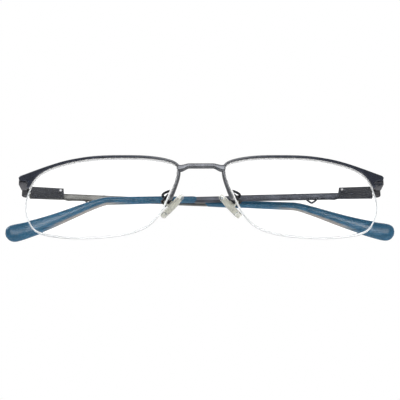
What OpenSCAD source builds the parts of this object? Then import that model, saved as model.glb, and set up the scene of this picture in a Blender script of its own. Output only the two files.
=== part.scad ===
// Half-rim eyeglasses with spring hinges, folded as stored.
// Wearer's frame: X to the wearer's left, Y backwards, Z up.
// The origin is the nose seat, midway between the faces of the two nose pads.

/* [Lenses] */
// Width of one lens
lens_w = 52.5; // [46:0.5:60]
// Height of one lens
lens_h = 29.4; // [25:0.2:36]
// Gap between the two lenses at the nose
bridge_gap = 17; // [14:0.5:21]
// Thickness of a lens
lens_t = 1.5; // [1.2:0.1:2]
// Radius of the lens's front curve
curve_r = 140; // [110:1:180]
// Lean of the lens plane, top edge forward, in degrees
panto = 8; // [4:0.5:12]
// Turn of each lens plane, outer edge back, in degrees
wrap = 3; // [1:0.5:6]

/* [Half rims] */
// Height of the rim along the brow
rim_top = 1.0; // [0.8:0.05:1.6]
// Width of the rim beside the nose
rim_nose = 1.1; // [0.9:0.05:1.8]
// Width of the rim's strip at the outer edge of the lens
rim_side = 1.3; // [1:0.05:1.8]
// Front-to-back depth of the rim
rim_depth = 1.8; // [1.7:0.05:2.6]
// Thickness of the liner between rim and lens
liner_t = 0.35; // [0.25:0.05:0.5]
// Diameter of the nylon cord
cord_d = 0.45; // [0.3:0.05:0.5]

/* [Bridge] */
// Height of the bridge bar
bridge_h = 1.4; // [1:0.05:2]
// Depth of the bridge bar
bridge_depth = 1.6; // [1:0.05:2]
// Rise of the bridge's middle above its ends
bridge_rise = 0.9; // [0:0.1:2]

/* [Hinges] */
// Reach of the front outwards past the edge of the lens
wing_reach = 2.95; // [2.6:0.05:5]
// Distance of each hinge pin behind the rim's end
hinge_back = 9.3; // [8.6:0.1:12]
// Outer diameter of a hinge knuckle
knuckle_d = 2.8; // [2.6:0.1:3.2]
// Height of the middle knuckle
knuckle_h = 1.1; // [0.9:0.05:1.4]
// Height of the whole hinge
hinge_h = 3.2; // [2.8:0.1:4]
// Diameter of the hinge screw's shank
screw_d = 1.4; // [1.2:0.05:1.6]
// Radial clearance of a turning fit
fit = 0.04; // [0.02:0.01:0.08]

/* [Temples] */
// Height of the temple bar at the hinge
bar_h = 2.0; // [1.8:0.1:3]
// Height of the temple bar behind its spring box
bar_h_mid = 2.4; // [2:0.1:3]
// Height of the temple bar where the tip begins
bar_h_end = 2.1; // [1.6:0.1:2.3]
// Thickness of the temple bar
bar_t = 1.1; // [0.9:0.1:1.4]
// Distance of the bar's middle plane outside the hinge pin
bar_out = 3.2; // [2.8:0.1:3.6]
// Length of the spring box
box_len = 11.5; // [11:0.5:14]
// Distance from the hinge pin to the start of the tip
tip_start = 63.5; // [55:0.5:75]
// Distance from the hinge pin to the start of the bend
bend_start = 95; // [85:1:105]
// Distance from the hinge pin to the end of the tip
tip_end = 129.5; // [118:1:140]
// Drop of the left tip's end below the bar
left_drop = 15.9; // [8:0.1:30]
// Drop of the right tip's end below the bar
right_drop = 12.3; // [8:0.1:30]
// Curve of the tip's end inwards
tip_in = 3.5; // [0:0.5:8]
// Height of the flat end of the tip
paddle_h = 6.7; // [5:0.1:8]
// Angle of the left temple short of parallel to the front
left_short = -0.7; // [-0.9:0.1:-0.6]
// Fall of the left temple per unit of its length
left_fall = 0.034; // [0.02:0.002:0.04]
// Fall of the right temple per unit of its length
right_fall = 0.028; // [0.02:0.002:0.034]
// Angle of the right temple short of parallel to the front
right_short = 2.0; // [1.9:0.1:2.4]

/* [Nose pads] */
// Distance of each pad's face from the middle
pad_x = 9.1; // [7.5:0.1:12]
// Distance of the pads behind the rim's end
pad_y = 6.6; // [5:0.1:9]
// Distance of the pads below the hinges
pad_z = 8.5; // [6:0.1:12]
// Length of a pad
pad_len = 12.4; // [11:0.5:16]
// Width of a pad
pad_w = 6.6; // [5.5:0.1:8]
// Thickness of a pad
pad_t = 2.4; // [1.8:0.1:3]
// Diameter of the pad arm's wire
arm_d = 0.9; // [0.7:0.05:1.2]

/* [Hidden] */
$fn = 32;

gap = 0.02;                        // clearance between pieces of one body
lens_x = (bridge_gap + lens_w) / 2;
lens_y = -3.1;                     // lens middle in front of the rim's end
lens_z = -9.4;                     // lens middle below the hinges
half_w = lens_w / 2;
half_h = lens_h / 2;
seat = [0, pad_y, -pad_z];         // the origin, seen from the hinge plane
wing_x = half_w + wing_reach;      // wing's end, from the lens middle
pin = [lens_x + wing_x - 2.1, hinge_back, 0];

// Lens outline, as shares of half the width and height, clockwise from the brow.
OUTLINE = [
  [-0.30, 0.995], [0.15, 0.98], [0.55, 0.86], [0.81, 0.67], [0.945, 0.33], [1, -0.12],
  [0.95, -0.53], [0.81, -0.81], [0.45, -0.97], [0.04, -1], [-0.34, -0.925], [-0.62, -0.72],
  [-0.81, -0.31], [-0.943, 0.265], [-0.997, 0.68], [-0.943, 0.875], [-0.68, 0.975]
];
TURNS = len(OUTLINE);              // outline parameter of one whole turn
nose_end = 12.5;                   // outline parameter of the rim's nose end
side_end = TURNS + 4;              // outline parameter of the rim's outer end
wing_from = TURNS + 1.4;           // where the brow starts to widen to its wing
rim_step = 0.25;                   // outline parameter between two points of a rim

function at(i) =
  let (p = OUTLINE[(i + 2 * TURNS) % TURNS])
  [p[0] * half_w, p[1] * half_h];
function blend4(a, b, c, d, t) =
  0.5 * (2 * b + (c - a) * t + (2 * a - 5 * b + 4 * c - d) * t * t
  + (3 * b - a - 3 * c + d) * t * t * t);
function edge(s) =
  let (i = floor(s), t = s - i)
  blend4(at(i - 1), at(i), at(i + 1), at(i + 2), t);
function edge_out(s) =
  let (d = edge(s + 0.02) - edge(s - 0.02), n = norm(d))
  [-d[1] / n, d[0] / n];
function ring(s, off) = edge(s) + off * edge_out(s);
function smooth(t) = let (c = min(1, max(0, t))) c * c * (3 - 2 * c);
function mix(a, b, t) = a + (b - a) * t;
function curve3(a, b, c, d, t) =
  let (m = 1 - t)
  m * m * m * a + 3 * m * m * t * b + 3 * m * t * t * c + t * t * t * d;
function unit(v) = v / norm(v);
function sag(p) = curve_r - sqrt(curve_r * curve_r - p[0] * p[0] - p[1] * p[1]);

// Turns of a point about X, Y and Z, and from the lens plane to the hinge frame.
function turn_x(p, a) = [p[0], p[1] * cos(a) - p[2] * sin(a), p[1] * sin(a) + p[2] * cos(a)];
function turn_y(p, a) = [p[0] * cos(a) + p[2] * sin(a), p[1], p[2] * cos(a) - p[0] * sin(a)];
function turn_z(p, a) = [p[0] * cos(a) - p[1] * sin(a), p[0] * sin(a) + p[1] * cos(a), p[2]];
function from_lens(p) = [lens_x, lens_y, lens_z] + turn_z(turn_x(p, panto), wrap);

// A closed skin over a list of rings with the same number of points.
module skin(rings) {
  n = len(rings[0]);
  m = len(rings);
  polyhedron(
    points = [for (r = rings) for (p = r) p],
    faces = concat(
      [[for (k = [0:n - 1]) k]],
      [for (i = [0:m - 2]) for (k = [0:n - 1])
        let (a = i * n + k, b = i * n + (k + 1) % n)
        each [[a, a + n, b + n], [a, b + n, b]]],
      [[for (k = [n - 1:-1:0]) (m - 1) * n + k]]
    )
  );
}

// An oval ring of half sizes a (sideways) and b (along up) round a point of a path.
function oval(path, i, up, a, b, sides) =
  let (
    t = unit(path[min(i + 1, len(path) - 1)] - path[max(i - 1, 0)]),
    s = unit(cross(t, up)),
    u = cross(s, t)
  )
  [for (k = [0:sides - 1])
    let (w = -360 * k / sides)
    path[i] + a * cos(w) * s + b * sin(w) * u];

module tube(path, up, r, sides = 12) {
  skin([for (i = [0:len(path) - 1]) oval(path, i, up, r, r, sides)]);
}

module to_row() {
  translate(-seat) children();
}

module lens_place() {
  to_row() translate([lens_x, lens_y, lens_z]) rotate([0, 0, wrap]) rotate([panto, 0, 0]) children();
}

// The part of a plane outline between two curved surfaces, the first at front and depth thick.
module curved_plate(front, depth) {
  intersection() {
    rotate([90, 0, 0]) linear_extrude(height = 16, center = true) children();
    translate([0, curve_r, 0]) difference() {
      sphere(r = curve_r - front, $fn = 96);
      sphere(r = curve_r - front - depth, $fn = 96);
    }
  }
}

module lens() {
  groove = cord_d + 2 * gap;
  whole = [for (s = [0:rim_step:TURNS - rim_step]) ring(s, 0)];
  inner = [for (s = [0:rim_step:TURNS - rim_step]) ring(s, -groove)];
  lens_place() color([0.92, 0.96, 0.97, 0.4]) difference() {
    curved_plate(0, lens_t) polygon(whole);
    curved_plate((lens_t - groove) / 2, groove) difference() {
      polygon([for (s = [0:rim_step:TURNS - rim_step]) ring(s, 1)]);
      polygon(inner);
    }
  }
}

function rim_outer(s) =
  ring(s, liner_t + mix(rim_nose, rim_top, smooth((s - nose_end - 2.2) / 2)));
wing_a = rim_outer(wing_from);
wing_b = [wing_x - 0.4, at(3)[1] + 0.25];
wing_c = [wing_x, at(3)[1] - 0.3];
wing_d = [wing_x - 0.4, at(3)[1] - 1.5];
wing_e = [wing_x - 2.6, at(3)[1] - 1.9];

module brow_rim() {
  nose = [for (s = [nose_end:rim_step:wing_from - rim_step]) rim_outer(s)];
  bow = [wing_a[0] + 6, wing_a[1] - 0.6];
  wing = [for (t = [0:0.2:1]) curve3(wing_a, bow, wing_b + [-7, 1.9], wing_b, t)];
  strip = [for (s = [side_end - 0.25, side_end]) ring(s, liner_t + rim_side)];
  inner = [for (s = [side_end:-rim_step:nose_end]) ring(s, liner_t)];
  lens_place() color([0.17, 0.2, 0.3])
    curved_plate(-(rim_depth - lens_t) / 2, rim_depth)
      polygon(concat(nose, wing, [wing_c, wing_d, wing_e], strip, inner));
}

module rim_liner() {
  out = [for (s = [nose_end:rim_step:side_end]) ring(s, liner_t - gap)];
  back = [for (s = [side_end:-rim_step:nose_end]) ring(s, gap)];
  lens_place() color([0.85, 0.86, 0.84]) curved_plate(0.2, lens_t - 0.4) polygon(concat(out, back));
}

module nylon_cord() {
  r = cord_d / 2;
  from = side_end - TURNS + 0.1;
  path = [for (s = [from:rim_step:nose_end - 0.1])
    let (p = ring(s, -r)) [p[0], sag(p) + lens_t / 2, p[1]]];
  lens_place() color([0.9, 0.92, 0.92]) tube(path, [0, 1, 0], r, 8);
}

// The endpiece joins the rim's outer end to the hinge.
module endpiece() {
  x = lens_x + wing_x;
  back = hinge_back - 3.1;
  foot = 1.5;
  to_row() color([0.5, 0.52, 0.55]) translate([0, 0, -foot]) linear_extrude(height = 2 * foot - 0.3) polygon([
    [x - 4.6, 0.9], [x - 0.9, 0.9], [x - 0.4, 1.3], [x - 0.2, 2.2], [x - 0.9, back],
    [x - 2.9, back], [x - 3, 4.1], [x - 3.5, 3], [x - 4.6, 2.6]
  ]);
}

module knuckle(low, high, hole) {
  translate([pin[0], pin[1], low]) difference() {
    cylinder(d = knuckle_d, h = high - low);
    translate([0, 0, -1]) cylinder(d = hole, h = high - low + 2);
  }
}

module front_hinge() {
  half = hinge_h / 2;
  slot = knuckle_h / 2 + fit;
  hole = screw_d + 2 * gap;
  leaf_y = hinge_back - 3.1 + gap;
  to_row() color([0.33, 0.34, 0.36]) {
    for (side = [-1, 1]) {
      low = side < 0 ? -half : slot;
      knuckle(low, low + half - slot, hole);
      difference() {
        translate([pin[0] - 0.85, leaf_y, low]) cube([1.7, pin[1] - leaf_y - 0.5, half - slot]);
        translate([pin[0], pin[1], -half - 1]) cylinder(d = hole, h = hinge_h + 2);
      }
    }
    translate([pin[0] - 0.85, leaf_y, -half]) cube([1.7, 0.9, hinge_h]);
  }
}

module hinge_screw() {
  half = hinge_h / 2;
  to_row() color([0.7, 0.71, 0.73]) translate([pin[0], pin[1], 0]) {
    translate([0, 0, -half]) cylinder(d = screw_d, h = hinge_h);
    difference() {
      translate([0, 0, half]) cylinder(d = 2.1, h = 0.45);
      translate([-1.5, -0.15, half + 0.2]) cube([3, 0.3, 1]);
    }
  }
}

// Temple pieces: X runs from the hinge pin to the tip, Y outwards, Z up.
box_from = 1.9;
box_in = 0.2;                      // depth of the spring box on the inner side of the pin
bore_d = 1.5;
rod_d = 0.75;
bush_from = box_from + 0.2;
bush_len = 1;
rod_end = box_from + 8.6;
nut_len = 0.8;
rivet_at = box_from + box_len - 1;
bar_in = bar_out - bar_t / 2;

module temple_place(short) {
  to_row() translate([-pin[0], pin[1], pin[2]]) rotate([0, 0, short]) children();
}

module hinge_link() {
  reach = rod_end - knuckle_d / 2;
  color([0.6, 0.61, 0.63]) {
    difference() {
      union() {
        translate([0, 0, -knuckle_h / 2]) cylinder(d = knuckle_d, h = knuckle_h);
        translate([0.4, -rod_d / 2, -rod_d / 2]) cube([knuckle_d / 2, rod_d, rod_d]);
        translate([knuckle_d / 2 - 0.3, 0, 0]) rotate([0, 90, 0]) cylinder(d = rod_d, h = reach + 0.3);
        translate([rod_end - nut_len, 0, 0]) rotate([0, 90, 0]) cylinder(d = bore_d - 0.2, h = nut_len);
      }
      translate([0, 0, -3]) cylinder(d = screw_d + 2 * fit, h = 6);
    }
  }
}

module hinge_box() {
  low = -bar_h / 2 - 0.35;
  wall = bar_in - gap;
  color([0.2, 0.23, 0.32]) difference() {
    translate([box_from, 0, 0]) rotate([90, 0, 0]) translate([0, 0, -wall])
      linear_extrude(height = wall + box_in + bore_d / 2)
        polygon([[0, low], [0, 1.15], [1, 1.35], [box_len, 0.85], [box_len, low + 0.05]]);
    translate([box_from - 1, 0, 0]) rotate([0, 90, 0]) cylinder(d = bore_d, h = rod_end - box_from + 2.2);
    translate([rivet_at, -3, 0]) rotate([-90, 0, 0]) cylinder(d = 0.9 + 2 * gap, h = 6);
  }
}

module spring_bush() {
  color([0.75, 0.65, 0.35]) translate([bush_from, 0, 0]) rotate([0, 90, 0]) difference() {
    cylinder(d = bore_d - 2 * gap, h = bush_len);
    translate([0, 0, -1]) cylinder(d = rod_d + 2 * fit, h = bush_len + 2);
  }
}

module hinge_spring() {
  wire = 0.2;
  from = bush_from + bush_len + wire / 2 + gap;
  length = rod_end - nut_len - from - wire / 2 - gap;
  turns = 9;
  r = rod_d / 2 + wire / 2 + 0.08;
  path = [for (k = [0:turns * 12])
    [from + length * k / (turns * 12), r * cos(30 * k), r * sin(30 * k)]];
  color([0.8, 0.81, 0.83]) tube(path, [1, 0, 0], wire / 2, 6);
}

module box_rivet() {
  color([0.85, 0.86, 0.88]) translate([rivet_at, -box_in - bore_d / 2 - 0.15, 0])
    rotate([-90, 0, 0]) cylinder(d = 0.9, h = box_in + bore_d / 2 + bar_in);
}

module temple_bar(drop, fall) {
  wire_to = bend_start + 26;
  start = 1.2;
  end_z = slope(tip_start, fall);
  top = bar_h / 2;
  end_up = bar_h_end / 2 - 0.15;   // bar's top edge above the tip's middle line
  color([0.55, 0.56, 0.57]) {
    translate([0, bar_in + bar_t, 0]) rotate([90, 0, 0]) linear_extrude(height = bar_t) polygon([
      [start, -bar_h / 2 + 0.3], [start + 0.3, -bar_h / 2], [heel, -bar_h / 2 - 0.2],
      [heel + 1.5, top - bar_h_mid - 0.15], [heel + 3.5, top - bar_h_mid],
      [tip_start + 0.5, end_z + end_up - bar_h_end], [tip_start + 0.5, end_z + end_up],
      [heel, top], [start + 0.3, top], [start, top - 0.3]
    ]);
    path = [for (x = [tip_start:4:wire_to]) spine(x, drop, fall)];
    tube(path, [0, 1, 0], 0.6, 12);
  }
}

// Slight fall of the temple behind its spring box.
heel = box_from + box_len;
function slope(x, fall) = -fall * max(0, min(x, bend_start) - heel);

// Middle line of the tip: straight, then bent down and slightly inwards.
function spine(x, drop, fall) =
  let (q = max(0, (x - bend_start) / (tip_end - bend_start)))
  [x, bar_out - tip_in * q * q, slope(x, fall) - drop * pow(q, 1.35) * (1.6 - 0.6 * q)];

module temple_tip(drop, fall) {
  n = 40;
  sleeve_h = 2.5;
  nose_len = 1.2;
  round_end = 3.2;
  rings = [for (i = [0:n])
    let (
      x = mix(tip_start, tip_end, 1 - pow(1 - i / n, 1.35)),
      swell = mix(sleeve_h, sleeve_h + 0.4, min(1, (x - tip_start) / (bend_start - tip_start))),
      widen = pow(max(0, min(1, (x - bend_start) / (tip_end - bend_start - 4))), 1.25),
      start = sqrt(1 - pow(1 - min(1, (x - tip_start) / nose_len + 0.35), 2)),
      end = pow(1 - pow(min(0.98, max(0, 1 - (tip_end - x) / round_end)), 2.4), 1 / 2.4),
      path = [for (d = [-0.5, 0, 0.5]) spine(x + d, drop, fall)]
    )
    oval(path, 1, [0, 1, 0], mix(swell, paddle_h, widen) / 2 * start * end,
      mix(swell - 0.3, 2.7, widen) / 2 * start * max(0.5, end), 24)];
  color([0.16, 0.36, 0.48]) skin(rings);
}

module temple_trim(fall) {
  at_x = 22.8;
  low = slope(at_x, fall) + bar_h / 2 - bar_h_mid;
  path = [
    [at_x - 1.9, bar_out, low + 0.25], [at_x - 1.1, bar_out, low - 0.6],
    [at_x - 0.3, bar_out, low - 1.2], [at_x + 0.3, bar_out, low - 1.2],
    [at_x + 1.1, bar_out, low - 0.6], [at_x + 1.9, bar_out, low + 0.25]
  ];
  color([0.6, 0.61, 0.62]) tube(path, [0, 1, 0], 0.3, 12);
}

module bridge() {
  half = lens_x - half_w - 0.6;
  n = 12;
  ends_z = lens_z + 11.8;
  line = [for (i = [-n:n]) let (t = i / n) [half * t, ends_z + bridge_rise * (1 - pow(abs(t), 3))]];
  out = [for (p = line) p + [0, bridge_h / 2]];
  under = [for (i = [len(line) - 1:-1:0]) line[i] - [0, bridge_h / 2]];
  bridge_y = -2.6;
  to_row() color([0.5, 0.51, 0.53]) translate([0, bridge_y + bridge_depth / 2, 0])
    rotate([90, 0, 0]) linear_extrude(height = bridge_depth) polygon(concat(out, under));
}

// Nose pad pieces: the nose-side face is at X = 0, with +X away from the nose.
pad_cant = -33;                    // pad's lower end outwards
pad_lean = -14.5;                  // pad's lower end forwards
pad_splay = -30;                   // pad's face turned backwards
stud_x = pad_t + 1.3;              // pad screw's distance behind the pad's face
box_back = stud_x + 1.7;
wall_y = 1.4;
function from_pad(p) =
  [pad_x, pad_y, -pad_z] + turn_x(turn_y(turn_z(p, pad_splay), pad_cant), pad_lean);

module pad_place() {
  to_row() translate([pad_x, pad_y, -pad_z])
    rotate([pad_lean, 0, 0]) rotate([0, pad_cant, 0]) rotate([0, 0, pad_splay]) children();
}

// Pad outline: an oval that is fuller at its lower end.
function pad_edge(w) = [
  pad_w / 2 * cos(w) * (1 - 0.14 * sin(w)),
  pad_len / 2 * sin(w)
];

module nose_pad() {
  pad_place() color([0.86, 0.87, 0.8, 0.7]) difference() {
    union() {
      rotate([90, 0, 90]) linear_extrude(height = pad_t)
        polygon([for (k = [0:27]) pad_edge(k * 360 / 28)]);
      translate([pad_t - 0.1, -0.8, -1.2]) cube([stud_x + 0.9 - pad_t + 0.1, 1.6, 2.4]);
    }
    translate([stud_x, -3, 0]) rotate([-90, 0, 0]) cylinder(d = 0.8 + 2 * fit, h = 6);
  }
}

module pad_box() {
  pad_place() color([0.45, 0.46, 0.48]) difference() {
    translate([pad_t + 0.35, -wall_y, -1.5]) cube([box_back - pad_t - 0.35, 2 * wall_y, 3]);
    translate([pad_t - 1, -0.9, -3]) cube([box_back - 0.5 - pad_t + 1, 1.8, 6]);
    translate([stud_x, -3, 0]) rotate([-90, 0, 0]) cylinder(d = 0.8 + 2 * gap, h = 6);
  }
}

module pad_screw() {
  pad_place() color([0.7, 0.71, 0.73]) translate([stud_x, -wall_y, 0]) rotate([-90, 0, 0]) {
    cylinder(d = 0.8, h = 2 * wall_y);
    translate([0, 0, 2 * wall_y]) cylinder(d = 1.3, h = 0.35);
  }
}

module pad_arm() {
  root_uv = ring(nose_end + 0.5, liner_t + rim_nose / 2);
  root = from_lens([root_uv[0], sag(root_uv) + rim_depth, root_uv[1]]);
  foot = from_pad([box_back + arm_d / 2 - 0.15, 0, 0]);
  loop_a = foot + [-1.7, -1.2, 1.5];
  loop_b = foot + [0.9, 0.6, 1.4];
  n = 18;
  path = [for (i = [0:n])
    let (t = i / n)
    t < 0.5
      ? curve3(root, root + [0.2, 1.8, 0.2], loop_a + [-1.5, -1.6, -0.3], loop_a, 2 * t)
      : curve3(loop_a, loop_a + [1.2, 1.3, 0.25], loop_b, foot, 2 * t - 1)];
  to_row() color([0.45, 0.46, 0.48]) tube(path, [1, 0, 0.2], arm_d / 2, 12);
}

module right() {
  mirror([1, 0, 0]) children();
}

module left_temple() {
  right() temple_place(left_short) children();
}

module right_temple() {
  temple_place(right_short) children();
}

bridge();
brow_rim();  // left_brow_rim
right() brow_rim();  // right_brow_rim
rim_liner();  // left_rim_liner
right() rim_liner();  // right_rim_liner
lens();  // left_lens
right() lens();  // right_lens
nylon_cord();  // left_nylon_cord
right() nylon_cord();  // right_nylon_cord
endpiece();  // left_endpiece
right() endpiece();  // right_endpiece
front_hinge();  // left_front_hinge
right() front_hinge();  // right_front_hinge
hinge_screw();  // left_hinge_screw
right() hinge_screw();  // right_hinge_screw
left_temple() hinge_link();  // left_hinge_link
right_temple() hinge_link();  // right_hinge_link
left_temple() hinge_box();  // left_hinge_box
right_temple() hinge_box();  // right_hinge_box
left_temple() spring_bush();  // left_spring_bush
right_temple() spring_bush();  // right_spring_bush
left_temple() hinge_spring();  // left_hinge_spring
right_temple() hinge_spring();  // right_hinge_spring
left_temple() box_rivet();  // left_box_rivet
right_temple() box_rivet();  // right_box_rivet
left_temple() temple_bar(left_drop, left_fall);  // left_temple_bar
right_temple() temple_bar(right_drop, right_fall);  // right_temple_bar
left_temple() temple_tip(left_drop, left_fall);  // left_temple_tip
right_temple() temple_tip(right_drop, right_fall);  // right_temple_tip
left_temple() temple_trim(left_fall);  // left_temple_trim
right_temple() temple_trim(right_fall);  // right_temple_trim
pad_arm();  // left_pad_arm
right() pad_arm();  // right_pad_arm
pad_box();  // left_pad_box
right() pad_box();  // right_pad_box
pad_screw();  // left_pad_screw
right() pad_screw();  // right_pad_screw
nose_pad();  // left_nose_pad
right() nose_pad();  // right_nose_pad
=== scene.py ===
"""Half-rim eyeglasses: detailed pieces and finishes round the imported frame.

All sizes here are in millimetres in the wearer's frame, with the hinge pins' plane at Z = 0.
place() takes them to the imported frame, whose origin is the nose seat, in metres.
"""

import math
from types import SimpleNamespace

import bmesh
import bpy
from bpy.props import FloatProperty, FloatVectorProperty, PointerProperty
from mathutils import Matrix, Vector


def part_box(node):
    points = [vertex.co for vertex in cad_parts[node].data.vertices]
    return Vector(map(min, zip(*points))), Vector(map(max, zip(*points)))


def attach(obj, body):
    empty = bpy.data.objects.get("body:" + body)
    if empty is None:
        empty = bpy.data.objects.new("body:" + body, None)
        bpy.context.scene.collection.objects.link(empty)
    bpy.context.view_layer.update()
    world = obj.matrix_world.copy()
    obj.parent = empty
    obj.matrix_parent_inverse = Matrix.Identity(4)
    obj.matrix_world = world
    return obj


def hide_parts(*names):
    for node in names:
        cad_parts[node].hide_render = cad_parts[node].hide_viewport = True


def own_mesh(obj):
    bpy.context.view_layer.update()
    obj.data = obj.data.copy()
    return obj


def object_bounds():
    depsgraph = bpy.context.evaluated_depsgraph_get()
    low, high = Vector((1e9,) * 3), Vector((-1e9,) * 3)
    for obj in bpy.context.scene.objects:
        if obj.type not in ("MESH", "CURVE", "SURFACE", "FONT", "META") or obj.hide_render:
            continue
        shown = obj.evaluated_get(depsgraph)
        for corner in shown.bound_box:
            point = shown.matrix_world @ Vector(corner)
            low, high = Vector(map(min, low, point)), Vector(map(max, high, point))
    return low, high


bl_info = {
    "name": "Half-rim Eyeglasses",
    "version": (1, 0, 0),
    "blender": (4, 5, 0),
    "location": "View3D > Sidebar > Eyeglasses",
    "description": "Builds the detailed pieces and finishes of half-rim spectacles",
    "category": "Object",
}

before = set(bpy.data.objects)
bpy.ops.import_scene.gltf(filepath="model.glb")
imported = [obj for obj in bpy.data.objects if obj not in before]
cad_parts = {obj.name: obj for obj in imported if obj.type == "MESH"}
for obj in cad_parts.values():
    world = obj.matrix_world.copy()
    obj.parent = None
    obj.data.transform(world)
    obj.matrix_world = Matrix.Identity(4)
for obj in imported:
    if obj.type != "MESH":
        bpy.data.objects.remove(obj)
CAD_BOX = [list(corner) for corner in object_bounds()]

MM = 0.001
SIDES = ("left", "right")
# Nose seat in the hinge frame
SEAT = Vector((0, 6.6, -8.5))

# Lens: middle, half sizes, radius of its front curve, lean and turn
LENS_AT = Vector((34.75, -3.1, -9.4))
HALF_W = 26.25
HALF_H = 14.7
CURVE_R = 140
PANTO = math.radians(8)
WRAP = math.radians(3)
# Lens outline as shares of half the width and height, clockwise from the brow
OUTLINE = (
    (-0.30, 0.995), (0.15, 0.98), (0.55, 0.86), (0.81, 0.67), (0.945, 0.33), (1, -0.12),
    (0.95, -0.53), (0.81, -0.81), (0.45, -0.97), (0.04, -1), (-0.34, -0.925), (-0.62, -0.72),
    (-0.81, -0.31), (-0.943, 0.265), (-0.997, 0.68), (-0.943, 0.875), (-0.68, 0.975),
)
TURNS = len(OUTLINE)
# Where the half rim ends and its wing starts, counted in outline points
NOSE_END = 12.5
SIDE_END = TURNS + 4
WING_FROM = TURNS + 1.4
WING_X = HALF_W + 2.95

# Left hinge pin, and the endpiece in front of it
PIN = Vector((61.85, 9.3, 0))
END_LOW = -1.5
END_H = 2.7
END_ROUND = 0.3

# Angle of each temple short of parallel to the front, its fall, and its tip's drop
SHORT = {"left": math.radians(-0.7), "right": math.radians(2.0)}
FALL = {"left": 0.034, "right": 0.028}
DROP = {"left": 15.9, "right": 12.3}
# Temple bar: distance from the pin, thickness, and heights in the box, behind it and in the tip
BAR_OUT = 3.2
BAR_T = 1.1
BAR_H = 2.0
BAR_H_MID = 2.4
BAR_H_END = 2.1
BAR_START = 1.2
HEEL = 13.4
# Temple tip, measured from the pin
TIP_START = 63.5
BEND_START = 95
TIP_END = 129.5
TIP_IN = 3.5
TIP_H = 2.5
TIP_H_BEND = 2.9
PADDLE_H = 6.7
PADDLE_T = 2.7
TIP_ROUND = 3.2
CORE_D = 1.2
CORE_END = BEND_START + 26
# V-shaped trim under the bar: place, wire, and points from its foot
TRIM_AT = 22.8
TRIM_W = 0.64
TRIM_H = 0.72
TRIM_KNOTS = ((-1.9, 0.25), (-1.1, -0.6), (-0.3, -1.2), (0.3, -1.2), (1.1, -0.6), (1.9, 0.25))
# Coil spring in the hinge box, and how far it is pressed together
SPRING_WIRE = 0.2
SPRING_R = 0.555
SPRING_FROM = 3.22
SPRING_LEN = 6.36
SPRING_TURNS = 9

# Nose pad: middle of its face, turns, sizes, edge rounding and hollow, and its screw
PAD_AT = Vector((9.1, 6.6, -8.5))
PAD_TURN = (math.radians(-14.5), math.radians(-33), math.radians(-30))
PAD_LEN = 12.4
PAD_W = 6.6
PAD_T = 2.4
PAD_ROUND = 1.05
PAD_HOLLOW = 0.22
PAD_SCREW = PAD_T + 1.3
# Lowest and highest corners of what shows inside a pad, in the pad's own axes
PAD_INSERTS = {
    "boss": ((PAD_T - 0.12, -0.78, -1.15), (PAD_SCREW + 0.85, 0.78, 1.15)),
    "core": ((0.95, -1.3, -2.9), (1.5, 1.3, 2.9)),
}

# Lamps of the studio: place and size in metres, power in watts
LAMPS = {
    "key": ((-0.45, -0.12, 0.6), (0.4, 0.3), 1.6),
    "fill": ((0.55, -0.3, -0.25), (0.4, 0.3), 1.0),
    "low_strip": ((0, -0.1, -0.6), (0.9, 0.1), 0.7),
    "glint": ((0, -0.515, 0.3), (0.3, 0.14), 0.5),
    "top": ((0, 0.4, 0.6), (0.8, 0.3), 1.5),
}
LAMP_AIM = Vector((0, 0.01, 0))
# Strength of the room as metal reflects it, in front and behind, and as other rays see it
ROOM_FRONT = 0.36
ROOM_BACK = 0.5
ROOM_SEEN = {"Diffuse": 0.62, "Transmission": 1.2, "Camera": 1.0}
FLOOR_SIZE = 1.5
CAMERA_AWAY = 0.6
CAMERA_LENS = 155
CAMERA_PITCH = math.radians(-31)
CAMERA_RIGHT = -0.42
CAMERA_UP = -7.67


class SpectacleSizes(bpy.types.PropertyGroup):
    """Sizes of the pieces that are not fixed by the frame, in metres."""

    lens_t: FloatProperty(
        name="Lens thickness", description="Thickness of a lens",
        default=0.0015, min=0, precision=5, unit="LENGTH")
    rim_top: FloatProperty(
        name="Rim height", description="Height of the rim at the brow",
        default=0.001, min=0, precision=5, unit="LENGTH")
    rim_nose: FloatProperty(
        name="Nose rim", description="Width of the rim by the nose",
        default=0.00095, min=0, precision=5, unit="LENGTH")
    rim_side: FloatProperty(
        name="Side strip", description="Width of the rim's side strip",
        default=0.0013, min=0, precision=5, unit="LENGTH")
    rim_depth: FloatProperty(
        name="Rim depth", description="Depth of the rim",
        default=0.0018, min=0, precision=5, unit="LENGTH")
    liner_t: FloatProperty(
        name="Liner", description="Thickness of the rim liner",
        default=0.00035, min=0, precision=5, unit="LENGTH")
    cord_d: FloatProperty(
        name="Nylon line", description="Diameter of the nylon line",
        default=0.00045, min=0, precision=5, unit="LENGTH")
    bridge_h: FloatProperty(
        name="Bridge height", description="Height of the bridge",
        default=0.0014, min=0, precision=5, unit="LENGTH")
    bridge_depth: FloatProperty(
        name="Bridge depth", description="Depth of the bridge",
        default=0.0016, min=0, precision=5, unit="LENGTH")
    arm_d: FloatProperty(
        name="Pad arm", description="Diameter of the pad arm's wire",
        default=0.0009, min=0, precision=5, unit="LENGTH")
    soften: FloatProperty(
        name="Soft edge", description="Rounding of hinge edges",
        default=0.00012, min=0, precision=5, unit="LENGTH")


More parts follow.
